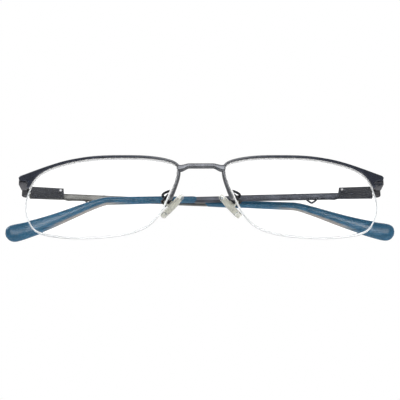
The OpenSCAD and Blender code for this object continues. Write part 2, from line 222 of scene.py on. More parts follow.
class SpectacleFinishes(bpy.types.PropertyGroup):
    """Colours of the finishes."""

    navy: FloatVectorProperty(
        name="Navy enamel", description="Brow and spring box enamel",
        default=(0.022, 0.027, 0.043), min=0, max=1, subtype="COLOR")
    gunmetal: FloatVectorProperty(
        name="Gunmetal", description="Plated bridge and nose rims",
        default=(0.14, 0.145, 0.158), min=0, max=1, subtype="COLOR")
    dark: FloatVectorProperty(
        name="Dark plating", description="Hinges, pad arms and pad boxes",
        default=(0.045, 0.045, 0.05), min=0, max=1, subtype="COLOR")
    acetate: FloatVectorProperty(
        name="Blue acetate", description="Main colour of the temple tips",
        default=(0.022, 0.1, 0.18), min=0, max=1, subtype="COLOR")
    # Painted light: the beige colour painted on the tips' underside, standing in for light bounced up from
    # the floor.
    underside_bounce_light: FloatVectorProperty(
        name="Beige acetate", description="Pale layer under the temple tips",
        default=(0.34, 0.31, 0.28), min=0, max=1, subtype="COLOR")
    silicone: FloatVectorProperty(
        name="Silicone", description="Nose pads",
        default=(0.9, 0.9, 0.84), min=0, max=1, subtype="COLOR")


def sizes():
    """The sizes in the panel, in millimetres."""
    group = bpy.context.scene.spectacle_sizes
    return SimpleNamespace(**{name: getattr(group, name) / MM for name in group.__annotations__})


def finishes():
    """The colours in the panel."""
    return bpy.context.scene.spectacle_finishes


# ---------------------------------------------------------------- curves and places


def curve3(a, b, c, d, t):
    """A Bezier curve from a to d, drawn towards b and c."""
    m = 1 - t
    return a * m**3 + b * (3 * m * m * t) + c * (3 * m * t * t) + d * t**3


def mix(a, b, t):
    return a + (b - a) * t


def clamp(t):
    return min(1.0, max(0.0, t))


def smooth(t):
    """From 0 to 1 with a soft start and end."""
    t = clamp(t)
    return t * t * (3 - 2 * t)


def spline(a, b, c, d, t):
    """The smooth curve through four points, between the two middle ones."""
    return 0.5 * (2 * b + (c - a) * t + (2 * a - 5 * b + 4 * c - d) * t * t
                  + (3 * b - a - 3 * c + d) * t**3)


def outline_at(i):
    u, v = OUTLINE[i % TURNS]
    return Vector((u * HALF_W, v * HALF_H))


def edge(s):
    """A point of the lens outline, with s counted in outline points."""
    i = math.floor(s)
    return spline(*(outline_at(i + k) for k in (-1, 0, 1, 2)), s - i)


def ring(s, off):
    """The lens outline moved outwards by off."""
    d = (edge(s + 0.02) - edge(s - 0.02)).normalized()
    return edge(s) + off * Vector((-d.y, d.x))


def place(point):
    """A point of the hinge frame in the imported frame."""
    return (Vector(point) - SEAT) * MM


def mirrored(point, side):
    """A left side's point, or its mirror image."""
    return Vector((point[0] if side == "left" else -point[0], point[1], point[2]))


def lens_point(p, depth, side):
    """A point at that depth behind the lens's front curve, from its place p in the lens plane."""
    y = CURVE_R - math.sqrt((CURVE_R - depth) ** 2 - p[0] ** 2 - p[1] ** 2)
    turn = Matrix.Rotation(WRAP, 3, "Z") @ Matrix.Rotation(PANTO, 3, "X")
    return place(mirrored(LENS_AT + turn @ Vector((p[0], y, p[1])), side))


def temple_point(p, side):
    """A temple point: X from the pin to the tip, Y outwards, Z up."""
    q = Matrix.Rotation(SHORT[side], 3, "Z") @ Vector(p) + Vector((-PIN.x, PIN.y, 0))
    return place(mirrored(q, "right" if side == "left" else "left"))


def pad_vector(p):
    """A left nose pad's point in the hinge frame."""
    ax, ay, az = PAD_TURN
    turn = Matrix.Rotation(ax, 3, "X") @ Matrix.Rotation(ay, 3, "Y") @ Matrix.Rotation(az, 3, "Z")
    return PAD_AT + turn @ Vector(p)


def pad_point(p, side):
    """A nose pad point: the nose-side face is at X = 0, with X away from the nose."""
    return place(mirrored(pad_vector(p), side))


def slope(x, side):
    """Height of the temple's middle line at x, before the tip's drop."""
    return -FALL[side] * max(0, min(x, BEND_START) - HEEL)


def spine(x, side):
    """Middle line of a temple: straight, then bent down and slightly inwards."""
    q = max(0, (x - BEND_START) / (TIP_END - BEND_START))
    return Vector((x, BAR_OUT - TIP_IN * q * q, slope(x, side) - DROP[side] * q**1.35 * (1.6 - 0.6 * q)))


def rim_outer(s):
    """The outer edge of the rim without its wing; it is thinner by the nose."""
    z = sizes()
    return ring(s, z.liner_t + mix(z.rim_nose, z.rim_top, smooth((s - NOSE_END - 2.2) / 2)))


def brow_outer(s):
    """The outer edge of the brow rim, with the wing at its outer end."""
    z = sizes()
    start = rim_outer(WING_FROM)
    high = outline_at(3).y
    tip = Vector((WING_X - 0.4, high + 0.25))
    stops = (
        (TURNS + 2.8, tip), (TURNS + 2.95, Vector((WING_X, high - 0.3))),
        (TURNS + 3.2, Vector((WING_X - 0.4, high - 1.5))),
        (TURNS + 3.55, Vector((WING_X - 2.6, high - 1.9))),
        (TURNS + 3.75, ring(TURNS + 3.75, z.liner_t + z.rim_side)),
    )
    if s <= WING_FROM:
        return rim_outer(s)
    if s <= stops[0][0]:
        t = (s - WING_FROM) / (stops[0][0] - WING_FROM)
        return curve3(start, start + Vector((6, -0.6)), tip + Vector((-7, 1.9)), tip, t)
    for (s0, p0), (s1, p1) in zip(stops, stops[1:]):
        if s <= s1:
            return p0.lerp(p1, (s - s0) / (s1 - s0))
    return ring(s, z.liner_t + z.rim_side)


# ---------------------------------------------------------------- meshes


def finish_mesh(bm, name, body, node, look, sharp=60):
    """Makes a bmesh a finished piece that rides on a body and stands for a CAD node, if any."""
    if not bm.faces:
        raise RuntimeError(name + " has no faces")
    bmesh.ops.recalc_face_normals(bm, faces=bm.faces)
    mesh = bpy.data.meshes.new(name)
    bm.to_mesh(mesh)
    bm.free()
    piece = bpy.data.objects.new(name, mesh)
    bpy.context.scene.collection.objects.link(piece)
    mesh.shade_smooth()
    mesh.set_sharp_from_angle(angle=math.radians(sharp))
    mesh.materials.append(finish(look))
    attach(piece, body)
    if node:
        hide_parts(cad_node(node).name)
    return piece


def loft(rings):
    """A closed skin drawn through rings of points, with a UV map: X along it in metres, Y round it."""
    bm = bmesh.new()
    n = len(rings[0])
    uv = bm.loops.layers.uv.new("around")
    where = {}
    now = [bm.verts.new(p) for p in rings[0]]
    for k, v in enumerate(now):
        where[v] = (0.0, k)
    bm.faces.new(now)
    along = 0.0
    for before, points in zip(rings, rings[1:]):
        along += (sum(points, Vector()) / n - sum(before, Vector()) / n).length
        loop = [bm.edges.get((now[k], now[(k + 1) % n])) for k in range(n)]
        made = bmesh.ops.extrude_edge_only(bm, edges=loop)["geom"]
        old = {v: k for k, v in enumerate(now)}
        fresh = [None] * n
        for v in (g for g in made if isinstance(g, bmesh.types.BMVert)):
            k = next(old[e.other_vert(v)] for e in v.link_edges if e.other_vert(v) in old)
            fresh[k] = v
        for k, v in enumerate(fresh):
            v.co = points[k]
            where[v] = (along, k)
        now = fresh
    bm.faces.new(now)
    for face in bm.faces:
        wraps = any(where[l.vert][1] == n - 1 for l in face.loops)
        for l in face.loops:
            x, k = where[l.vert]
            l[uv].uv = (x, 1.0 if wraps and k == 0 else k / n)
    return bm


def oval(n, power):
    """The n corners of a rounded box shape of half sizes one; power 2 gives a circle."""
    e = 2 / power
    points = []
    for k in range(n):
        w = 2 * math.pi * k / n
        c, s = math.cos(w), math.sin(w)
        points.append((math.copysign(abs(c) ** e, c), math.copysign(abs(s) ** e, s)))
    return points


def path_rings(path, up, half, n=16, power=2):
    """Rings round a path; half gives each ring's half sizes, sideways and along up."""
    rings = []
    last = len(path) - 1
    for i, p in enumerate(path):
        t = (path[min(i + 1, last)] - path[max(i - 1, 0)]).normalized()
        side = t.cross(Vector(up)).normalized()
        top = side.cross(t)
        a, b = half(i)
        rings.append([p + side * (a * x) + top * (b * y) for x, y in oval(n, power)])
    return rings


def round_ends(path, r):
    """Half sizes of a round tube whose two ends are domed."""

    def half(i):
        d = min((path[i] - path[0]).length, (path[i] - path[-1]).length)
        k = math.sqrt(1 - (1 - min(1, (d + 0.02) / r)) ** 2)
        return r * k, r * k
    return half


def cad_node(node):
    """A node of the frame; the operator that asks for one that isn't there stops with an error."""
    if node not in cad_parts:
        raise RuntimeError("the frame has no node " + node)
    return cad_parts[node]


def soften_cad(node, width):
    """Rounds the edges of a CAD node that stays."""
    piece = cad_node(node)
    weld = piece.modifiers.new("weld", "WELD")
    weld.merge_threshold = 2e-6
    bevel = piece.modifiers.new("soft_edges", "BEVEL")
    bevel.width = width * MM
    bevel.segments = 3
    bevel.limit_method = "ANGLE"
    bevel.angle_limit = math.radians(35)
    bevel.use_clamp_overlap = True
    bevel.harden_normals = True
    return piece


def finish_cad(node, look):
    """Gives a CAD node that stays its finish."""
    piece = cad_node(node)
    piece.data.materials.clear()
    piece.data.materials.append(finish(look))


# ---------------------------------------------------------------- materials


class Shader:
    """A node material under construction."""

    def __init__(self, name):
        self.material = bpy.data.materials.new(name)
        self.material.use_nodes = True
        self.nodes = self.material.node_tree.nodes
        self.links = self.material.node_tree.links
        self.bsdf = self.nodes["Principled BSDF"]
        self.coords = self.nodes.new("ShaderNodeTexCoord")

    def join(self, out, socket):
        """Links an output to an input."""
        self.links.new(out, socket)

    def stretched(self, scale):
        """Object coordinates scaled unequally, for brushing and flow."""
        mapping = self.nodes.new("ShaderNodeMapping")
        mapping.inputs["Scale"].default_value = scale
        self.join(self.coords.outputs["Object"], mapping.inputs["Vector"])
        return mapping.outputs["Vector"]

    def noise(self, vector, scale, detail=3.0):
        """Cloudy noise; scale is in periods per unit of the coordinates."""
        texture = self.nodes.new("ShaderNodeTexNoise")
        texture.inputs["Scale"].default_value = scale
        texture.inputs["Detail"].default_value = detail
        self.join(vector, texture.inputs["Vector"])
        return texture.outputs["Fac"]

    def spread(self, value, low, high, from_low=0.3, from_high=0.7):
        """Takes a value softly from one range to another."""
        span = self.nodes.new("ShaderNodeMapRange")
        span.interpolation_type = "SMOOTHSTEP"
        for name, v in (("From Min", from_low), ("From Max", from_high), ("To Min", low), ("To Max", high)):
            span.inputs[name].default_value = v
        self.join(value, span.inputs["Value"])
        return span.outputs["Result"]

    def math(self, operation, a, b=None, c=None):
        """One sum on numbers or outputs."""
        node = self.nodes.new("ShaderNodeMath")
        node.operation = operation
        for socket, value in zip(node.inputs, (a, b, c)):
            if value is None:
                continue
            if isinstance(value, (int, float)):
                socket.default_value = value
            else:
                self.join(value, socket)
        return node.outputs["Value"]

    def blend(self, factor, a, b):
        """A colour between two colours or outputs."""
        node = self.nodes.new("ShaderNodeMix")
        node.data_type = "RGBA"
        self.join(factor, node.inputs["Factor"])
        for socket, value in ((node.inputs[6], a), (node.inputs[7], b)):
            if isinstance(value, bpy.types.NodeSocket):
                self.join(value, socket)
            else:
                socket.default_value = (*value, 1)
        return node.outputs[2]

    def bump(self, height, strength, distance):
        """Relief of the surface, its distance in millimetres."""
        node = self.nodes.new("ShaderNodeBump")
        node.inputs["Strength"].default_value = strength
        node.inputs["Distance"].default_value = distance * MM
        self.join(height, node.inputs["Height"])
        self.join(node.outputs["Normal"], self.bsdf.inputs["Normal"])

    def set(self, **values):
        """Uniform values of the surface, by socket name with _ for a space."""
        for name, value in values.items():
            self.bsdf.inputs[name.replace("_", " ")].default_value = value

    def distance_from_middle(self):
        """Distance from the eyeglasses' middle plane, in metres."""
        parts = self.nodes.new("ShaderNodeSeparateXYZ")
        self.join(self.coords.outputs["Object"], parts.inputs["Vector"])
        return self.math("ABSOLUTE", parts.outputs["X"])


def shade(tone, k):
    """A colour made darker or lighter."""
    return tuple(min(1.0, c * k) for c in tone[:3])


def enamel(name, fades):
    """Satin enamel over metal. Where it fades, gunmetal plating shows towards the nose."""
    look = finishes()
    m = Shader(name)
    mottle = m.noise(m.coords.outputs["Object"], 700, 4)
    # Painted shade: without the fade, on the spring boxes, the brow's navy is darkened to 0.4.
    painted_shade_dim = 1 if fades else 0.4
    paint = m.blend(m.spread(mottle, 0, 1), shade(look.navy, 0.8 * painted_shade_dim), shade(look.navy, 1.3 * painted_shade_dim))
    brushed = m.noise(m.stretched((300, 8000, 8000)), 1, 4)
    if fades:
        metal = m.blend(m.spread(brushed, 0, 1), shade(look.gunmetal, 0.7), shade(look.gunmetal, 1.15))
        bare = m.spread(m.distance_from_middle(), 1, 0, 0.01, 0.026)
        m.join(m.blend(bare, paint, metal), m.bsdf.inputs["Base Color"])
        m.join(m.math("MULTIPLY_ADD", bare, 0.45, 0.5), m.bsdf.inputs["Metallic"])
    else:
        m.join(paint, m.bsdf.inputs["Base Color"])
        m.set(Metallic=0.2, Specular_IOR_Level=0.2)
    m.join(m.spread(m.noise(m.coords.outputs["Object"], 2500, 2), 0.24, 0.36), m.bsdf.inputs["Roughness"])
    m.set(Coat_Weight=0.35 if fades else 0.15, Coat_Roughness=0.12)
    m.bump(brushed, 0.03, 0.02)
    return m.material


def plating(name, colour, rough, grain=0.1):
    """Plated metal with fine brushing along the piece and cloudy wear."""
    m = Shader(name)
    fine = m.noise(m.stretched((300, 8000, 8000)), 1, 4)
    cloud = m.noise(m.coords.outputs["Object"], 260, 3)
    tone = m.blend(m.spread(cloud, 0, 1), shade(colour, 0.82), shade(colour, 1.2))
    m.join(tone, m.bsdf.inputs["Base Color"])
    m.set(Metallic=1.0)
    m.join(m.spread(fine, rough * 0.75, rough * 1.3), m.bsdf.inputs["Roughness"])
    m.bump(fine, grain, 0.015)
    return m.material


def clear_lens():
    """Coated clear plastic with faint dust and rubbing marks."""
    m = Shader("clear_lens")
    dust = m.noise(m.coords.outputs["Object"], 1500, 6)
    ground = m.nodes.new("ShaderNodeAttribute")
    ground.attribute_name = "ground"
    frosted = m.math("MULTIPLY", ground.outputs["Fac"], 0.45)
    m.join(m.math("MAXIMUM", frosted, m.spread(dust, 0.0, 0.012, 0.62, 0.8)), m.bsdf.inputs["Roughness"])
    through = m.math("SUBTRACT", 1.0, m.math("MULTIPLY", ground.outputs["Fac"], 0.15))
    m.join(through, m.bsdf.inputs["Transmission Weight"])
    m.set(Base_Color=(1.0, 1.0, 1.0, 1), IOR=1.5, Coat_Weight=0.0)
    m.set(Specular_Tint=(0.045, 0.05, 0.048, 1))
    m.bump(m.noise(m.coords.outputs["Object"], 60, 1), 0.02, 0.01)
    return m.material


def clear_plastic(name, colour, through, rough, scale=900):
    """Nylon line, rim liner and other cloudy clear plastics."""
    m = Shader(name)
    cloud = m.noise(m.coords.outputs["Object"], scale, 3)
    tone = m.blend(m.spread(cloud, 0, 1), shade(colour, 0.9), shade(colour, 1.06))
    m.join(tone, m.bsdf.inputs["Base Color"])
    m.join(m.spread(cloud, rough * 0.8, rough * 1.3), m.bsdf.inputs["Roughness"])
    m.set(Transmission_Weight=through, IOR=1.45)
    m.bump(cloud, 0.04, 0.03)
    return m.material


def acetate():
    """Polished petrol-blue acetate, with beige painted light on the underside around the bend, standing in
    for light bounced up from the floor.
    """
    look = finishes()
    m = Shader("blue_acetate")
    uv = m.nodes.new("ShaderNodeUVMap")
    uv.uv_map = "around"
    parts = m.nodes.new("ShaderNodeSeparateXYZ")
    m.join(uv.outputs["UV"], parts.inputs["Vector"])
    flow = m.noise(m.stretched((40, 260, 260)), 5, 6)
    fine = m.noise(m.coords.outputs["Object"], 1800, 3)
    blue = m.blend(m.spread(flow, 0, 1), shade(look.acetate, 0.86), shade(look.acetate, 1.18))
    wave = m.math("MULTIPLY_ADD", m.noise(m.coords.outputs["Object"], 120, 2), 0.05, -0.025)
    from_under = m.math("ABSOLUTE", m.math("SUBTRACT", m.math("ADD", parts.outputs["Y"], wave), 0.75))
    here = m.math("MULTIPLY", m.spread(parts.outputs["X"], 0, 1, 0.022, 0.032),
                  m.spread(parts.outputs["X"], 1, 0, 0.048, 0.058))
    # Painted light: beige on the underside, only along the stretch around the bend, standing in for light
    # bounced up from the floor.
    painted_bounce_light = m.math("MULTIPLY", here, m.spread(from_under, 0.85, 0, 0.07, 0.14))
    m.join(m.blend(painted_bounce_light, blue, look.underside_bounce_light[:]), m.bsdf.inputs["Base Color"])
    m.join(m.spread(fine, 0.2, 0.3), m.bsdf.inputs["Roughness"])
    m.set(Subsurface_Weight=0.25, Subsurface_Radius=(0.4, 0.9, 1.2), Subsurface_Scale=0.0012,
          Coat_Weight=0.35, Coat_Roughness=0.15, Specular_IOR_Level=0.3, IOR=1.49)
    m.bump(flow, 0.012, 0.03)
    return m.material


def silicone():
    """Soft clear silicone, slightly yellow, cloudy inside."""
    look = finishes()
    m = Shader("silicone")
    cloud = m.noise(m.coords.outputs["Object"], 500, 4)
    tone = m.blend(m.spread(cloud, 0, 1), shade(look.silicone, 0.93), shade(look.silicone, 1.05))
    m.join(tone, m.bsdf.inputs["Base Color"])
    m.join(m.spread(m.noise(m.coords.outputs["Object"], 2600, 2), 0.05, 0.12), m.bsdf.inputs["Roughness"])
    m.set(Transmission_Weight=0.8, IOR=1.4)
    m.bump(cloud, 0.06, 0.05)
    return m.material


def pale_floor():
    """A pale matt floor that is seen from above and open from below."""
    m = Shader("pale_floor")
    grain = m.noise(m.coords.outputs["Object"], 400, 4)
    tone = m.blend(m.spread(grain, 0, 1), (0.80, 0.80, 0.80), (0.83, 0.83, 0.825))
    m.join(tone, m.bsdf.inputs["Base Color"])
    m.set(Roughness=0.75)
    side = m.nodes.new("ShaderNodeNewGeometry")
    open_below = m.nodes.new("ShaderNodeBsdfTransparent")
    either = m.nodes.new("ShaderNodeMixShader")
    m.join(side.outputs["Backfacing"], either.inputs["Fac"])
    m.join(m.bsdf.outputs["BSDF"], either.inputs[1])
    m.join(open_below.outputs["BSDF"], either.inputs[2])
    m.join(either.outputs["Shader"], m.nodes["Material Output"].inputs["Surface"])
    return m.material


def finish(name):
    """The finish of that name, made once."""
    look = finishes()
    known = bpy.data.materials.get(name)
    if known and known.get("spectacles"):
        return known
    makers = {
        "navy_paint": lambda: enamel("navy_paint", True),
        # The spring boxes share the brow's navy enamel, darkened as painted shade.
        "navy_box": lambda: enamel("navy_box", False),
        "gunmetal": lambda: plating("gunmetal", look.gunmetal, 0.26, 0.03),
        # Painted light and shade: both temples have the same plating, but the left bar is darkened as
        # painted shade and the right bar lightened as painted light.
        "bar_left": lambda: plating("bar_left", (0.075, 0.08, 0.095), 0.34, 0.006),
        "bar_right": lambda: plating("bar_right", (0.17, 0.17, 0.162), 0.34, 0.006),
        "polished": lambda: plating("polished", (0.1, 0.1, 0.11), 0.2, 0.03),
        "dark_plate": lambda: plating("dark_plate", look.dark, 0.3, 0.15),
        "bright_steel": lambda: plating("bright_steel", (0.3, 0.3, 0.31), 0.25, 0.05),
        "bush_brass": lambda: plating("bush_brass", (0.6, 0.44, 0.18), 0.25),
        "clear_lens": clear_lens,
        "nylon": lambda: clear_plastic("nylon", (0.72, 0.76, 0.78), 0.55, 0.2),
        "liner": lambda: clear_plastic("liner", (0.95, 0.95, 0.95), 0.6, 0.25),
        "pad_core": lambda: clear_plastic("pad_core", (0.88, 0.88, 0.8), 0.45, 0.2),
        "blue_acetate": acetate,
        "silicone": silicone,
    }
    material = makers[name]()
    if material.name != name:
        known.name = name + "_cad"
        material.name = name
    material["spectacles"] = True
    return material


# ---------------------------------------------------------------- pieces of the front


def brow_rim(side):
    """The half rim with its wing; its section narrows and rounds at both ends."""
    z = sizes()
    count = 156
    rings = []
    for i in range(count + 1):
        s = mix(NOSE_END, SIDE_END, i / count)
        inner, outer = ring(s, z.liner_t), brow_outer(s)
        from_end = min(i, count - i, 3)
        width = (0.75, 0.93, 0.98, 1)[from_end]
        depth = z.rim_depth / 2 * (0.62, 0.88, 0.97, 1)[from_end]
        rings.append([
            lens_point(inner.lerp(outer, 0.5 + 0.5 * width * x), z.lens_t / 2 + depth * y, side)
            for x, y in oval(28, 4.2)])
    finish_mesh(loft(rings), side + "_brow", "front", side + "_brow_rim", "navy_paint")


def rim_liner(side):
    """The clear strip between rim and lens."""
    z = sizes()
    count = 120
    depth = z.lens_t / 2 - 0.1
    rings = []
    for i in range(count + 1):
        s = mix(NOSE_END, SIDE_END, i / count)
        rings.append([
            lens_point(ring(s, z.liner_t * (0.5 + 0.52 * x)), z.lens_t / 2 + depth * y, side)
            for x, y in oval(12, 3)])
    finish_mesh(loft(rings), side + "_liner", "front", side + "_rim_liner", "liner")


def clear_disc(side):
    """The lens: front face, edge with its groove left ground, and back face."""
    z = sizes()
    t = z.lens_t
    groove = z.cord_d + 0.04
    low = (t - groove) / 2
    n = 204
    face = [(k, 1.2, 0) for k in (0.04, 0.15, 0.3, 0.45, 0.6, 0.75, 0.88, 0.96, 1)]
    front = face + [(1, 0.5, 0), (1, 0.12, 0), (1, 0.03, 0.04), (1, 0, 0.12)]
    wall = [(1, 0, low - 0.03), (1, 0.03, low), (1, groove, low + 0.02)]
    back = [(k, inset, t - depth) for k, inset, depth in reversed(front + wall)]
    rings = [
        [lens_point(ring(TURNS * i / n, -inset) * k, depth, side) for i in range(n)]
        for k, inset, depth in front + wall + back]
    bm = loft(rings)
    ground = bm.verts.layers.float.new("ground")
    bm.verts.ensure_lookup_table()
    for v in bm.verts[len(front) * n:(len(rings) - len(front)) * n]:
        v[ground] = 1.0
    lens = finish_mesh(bm, side + "_clear_lens", "front", side + "_lens", "clear_lens", 35)
    lens.visible_shadow = False


def nylon_line(side):
    """The line in the lens's groove, from the rim's nose end round to its side end."""
    z = sizes()
    count = 150
    r = z.cord_d / 2
    first, last = SIDE_END - TURNS + 0.02, NOSE_END - 0.02
    path = [
        lens_point(ring(mix(first, last, i / count), -r), z.lens_t / 2, side)
        for i in range(count + 1)]
    rings = path_rings(path, (0, 1, 0), lambda i: (r * MM, r * MM), 12)
    finish_mesh(loft(rings), side + "_line", "front", side + "_nylon_cord", "nylon")


def bridge_bar():
    """The bridge: a flat-topped arch whose feet flare where they meet the rims."""
    z = sizes()
    low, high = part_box("bridge")
    reach = high[0] + 0.2 * MM
    middle_y = (low[1] + high[1]) / 2
    foot_z = low[2] + z.bridge_h / 2 * MM
    rise = high[2] - low[2] - z.bridge_h * MM
    count = 64
    shares = [mix(-1, 1, i / count) for i in range(count + 1)]
    path = []
    for x in shares:
        step = smooth((abs(x) - 0.5) / 0.42)
        path.append(Vector((reach * x, middle_y, foot_z + rise * (1 - step) - 0.15 * MM * step)))

    def half(i):
        flare = smooth((abs(shares[i]) - 0.55) / 0.45)
        return z.bridge_depth / 2 * MM, (z.bridge_h / 2 * 1.08 + 0.5 * flare) * MM

    rings = path_rings(path, (0, 0, 1), half, 32, 5)
    finish_mesh(loft(rings), "bridge_bar", "front", "bridge", "gunmetal")


def endpiece(side):
    """The turned-back end of the front, cut from its plan and rounded all over."""
    x = LENS_AT.x + WING_X
    back = PIN.y - 3.1
    plan = (
        (x - 4.6, 0.9), (x - 0.9, 0.9), (x - 0.4, 1.3), (x - 0.2, 2.2), (x - 0.9, back),
        (x - 2.9, back), (x - 3, 4.1), (x - 3.5, 3), (x - 4.6, 2.6))
    bm = bmesh.new()
    base = bm.faces.new([bm.verts.new((px, py, END_LOW)) for px, py in plan])
    made = bmesh.ops.extrude_face_region(bm, geom=[base])["geom"]
    top = [g for g in made if isinstance(g, bmesh.types.BMVert)]
    bmesh.ops.translate(bm, vec=(0, 0, END_H), verts=top)
    bmesh.ops.bevel(bm, geom=list(bm.edges), offset=END_ROUND, segments=5, profile=0.5,
                    affect="EDGES", material=-1, clamp_overlap=True)
    for v in bm.verts:
        v.co = place(mirrored(v.co, side))
    finish_mesh(bm, side + "_end", "front", side + "_endpiece", "polished", 50)


# ---------------------------------------------------------------- pieces of a temple


def coil_spring(side):
    """The spring in the hinge box, on a mesh of its own. The real spring shortens as the temple is pulled
    out along its rod.
    """
    r = SPRING_WIRE / 2
    corners = 20
    last = SPRING_TURNS * corners
    path = []
    for i in range(last + 1):
        w = 2 * math.pi * i / corners
        along = SPRING_FROM + SPRING_LEN * i / last
        path.append(temple_point((along, SPRING_R * math.cos(w), SPRING_R * math.sin(w)), side))
    near = temple_point((SPRING_FROM - r, 0, 0), side)
    far = temple_point((SPRING_FROM + SPRING_LEN + r, 0, 0), side)
    rings = path_rings(path, far - near, lambda i: (r * MM, r * MM), 8)
    spring = finish_mesh(loft(rings), side + "_coil", side + "_temple", side + "_hinge_spring",
                         "bright_steel")
    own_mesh(spring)


def step_through(table, x):
    """The height that a table of (x, height) gives: soft steps by the box, straight behind it."""
    for (x0, h0), (x1, h1) in zip(table, table[1:]):
        if x <= x1:
            t = (x - x0) / (x1 - x0)
            return mix(h0, h1, smooth(t) if x1 < TRIM_AT else t)
    return table[-1][1]


def temple_bar(side):
    """The flat bar from the spring box into the tip. It is higher behind the box."""
    top_end = BAR_H_END / 2 - 0.15
    end = TIP_START + 0.5
    over = ((BAR_START, 0.72), (1.5, 1.0), (HEEL, BAR_H / 2), (end, top_end))
    under = ((BAR_START, 0.72), (1.5, 1.0), (HEEL, 1.2), (HEEL + 1.5, BAR_H_MID + 0.15 - BAR_H / 2),
             (HEEL + 3.5, BAR_H_MID - BAR_H / 2), (end, BAR_H_END - top_end))
    stops = [BAR_START, 1.24, 1.32, 1.45] + [1.6 + 0.4 * i for i in range(46)]
    stops += [mix(20.4, end, i / 40) for i in range(41)]
    rings = []
    for i, x in enumerate(stops):
        top, low = step_through(over, x), step_through(under, x)
        shrink = (0.7, 0.88, 0.97, 1)[min(i, 3)]
        rings.append([
            temple_point((x, BAR_OUT + a * BAR_T / 2 * shrink,
                          slope(x, side) + b * (top if b > 0 else low) * shrink), side)
            for a, b in oval(24, 5)])
    # The bar takes its side's plating: darkened on the left as painted shade, lightened on the right as
    # painted light.
    finish_mesh(loft(rings), side + "_bar", side + "_temple", side + "_temple_bar",
                "bar_" + side)


def core_wire(side):
    """The wire that stiffens the tip."""
    first = TIP_START + 1
    path = [temple_point(spine(first + i, side), side) for i in range(int(CORE_END - TIP_START))]
    rings = path_rings(path, (0, 1, 0), round_ends(path, CORE_D / 2 * MM), 12)
    finish_mesh(loft(rings), side + "_core_wire", side + "_temple", None, "bright_steel")


def temple_trim(side):
    """The bent wire ornament under the bar."""
    foot = slope(TRIM_AT, side) + BAR_H / 2 - BAR_H_MID
    knots = [Vector((TRIM_AT + dx, BAR_OUT, foot + dz)) for dx, dz in TRIM_KNOTS]
    last = len(knots) - 1
    path = []
    for i in range(last):
        four = [knots[min(max(i + k, 0), last)] for k in (-1, 0, 1, 2)]
        path += [spline(*four, j / 6) for j in range(6)]
    path = [temple_point(p, side) for p in path + [knots[-1]]]
    rings = path_rings(path, (0, 1, 0), lambda i: (TRIM_W / 2 * MM, TRIM_H / 2 * MM), 14)
    # The trim takes its side's bar plating, with the same painted shade on the left and painted light on
    # the right.
    finish_mesh(loft(rings), side + "_trim", side + "_temple", side + "_temple_trim",
                "bar_" + side)


def temple_tip(side):
    """The acetate tip: thin at the sleeve, broad and rounded at the end."""
    count = 90
    rings = []
    for i in range(count + 1):
        x = mix(TIP_START, TIP_END, 1 - (1 - i / count) ** 1.45)
        height = mix(TIP_H, TIP_H_BEND, clamp((x - TIP_START) / (BEND_START - TIP_START)))
        widen = clamp((x - BEND_START) / (TIP_END - BEND_START - 4)) ** 1.25
        start = math.sqrt(1 - (1 - min(1, (x - TIP_START) / 1.2 + 0.35)) ** 2)
        over = clamp(1 - (TIP_END - x) / TIP_ROUND)
        end = (1 - min(0.985, over) ** 2.4) ** (1 / 2.4)
        before, middle, after = (spine(x + d, side) for d in (-0.5, 0, 0.5))
        along = (after - before).normalized()
        out = along.cross(Vector((0, 1, 0))).normalized().cross(along)
        up = out.cross(along).normalized()
        if up.z < 0:
            up = -up
        b = mix(height, PADDLE_H, widen) / 2 * start * end
        a = mix(height - 0.3, PADDLE_T, widen) / 2 * start * max(0.45, end)
        rings.append([
            temple_point(middle + out * (a * cx) + up * (b * cz), side)
            for cx, cz in oval(40, mix(2.1, 2.5, widen))])
    finish_mesh(loft(rings), side + "_tip", side + "_temple", side + "_temple_tip",
                "blue_acetate", 70)


# ---------------------------------------------------------------- pieces of a nose pad


def pad_body(side):
    """The soft pad: an egg-shaped oval with a shallow hollow and a round edge."""
    n = 56
    quarter = 12

    def pad_edge(k, scale, inset):
        w = 2 * math.pi * k / n
        y = (PAD_W / 2 - inset) * math.cos(w) * (1 - 0.14 * math.sin(w))
        return y * scale, (PAD_LEN / 2 - inset) * math.sin(w) * scale

    profile = [(s, PAD_ROUND, PAD_HOLLOW * s * s) for s in (0.04, 0.2, 0.4, 0.6, 0.8, 0.95)]
    for j in range(quarter + 1):
        w = math.pi / 2 * j / quarter
        depth = PAD_HOLLOW + (PAD_ROUND - 0.1) * (1 - math.cos(w))
        profile.append((1, PAD_ROUND * (1 - math.sin(w)), depth))
    back = [
        (s, inset, PAD_T - (x - PAD_HOLLOW if s == 1 else 0)) for s, inset, x in reversed(profile)]
    rings = []
    for s, inset, x in profile + back[1:]:
        points = (pad_edge(k, s, inset) for k in range(n))
        rings.append([pad_point((x, y, v), side) for y, v in points])
    finish_mesh(loft(rings), side + "_pad_body", side + "_pad", side + "_nose_pad",
                "silicone")


def pad_insert(side, name):
    """The boss behind a pad, or the core inside it."""
    low, high = PAD_INSERTS[name]
    bm = bmesh.new()
    bmesh.ops.create_cube(bm, size=1)
    for v in bm.verts:
        v.co = [mix(low[a], high[a], v.co[a] + 0.5) for a in range(3)]
    bmesh.ops.bevel(bm, geom=list(bm.edges), offset=0.2, segments=3, profile=0.5,
                    affect="EDGES", material=-1)
    for v in bm.verts:
        v.co = pad_point(v.co, side)
    finish_mesh(bm, side + "_pad_" + name, side + "_pad", None, "pad_core", 50)


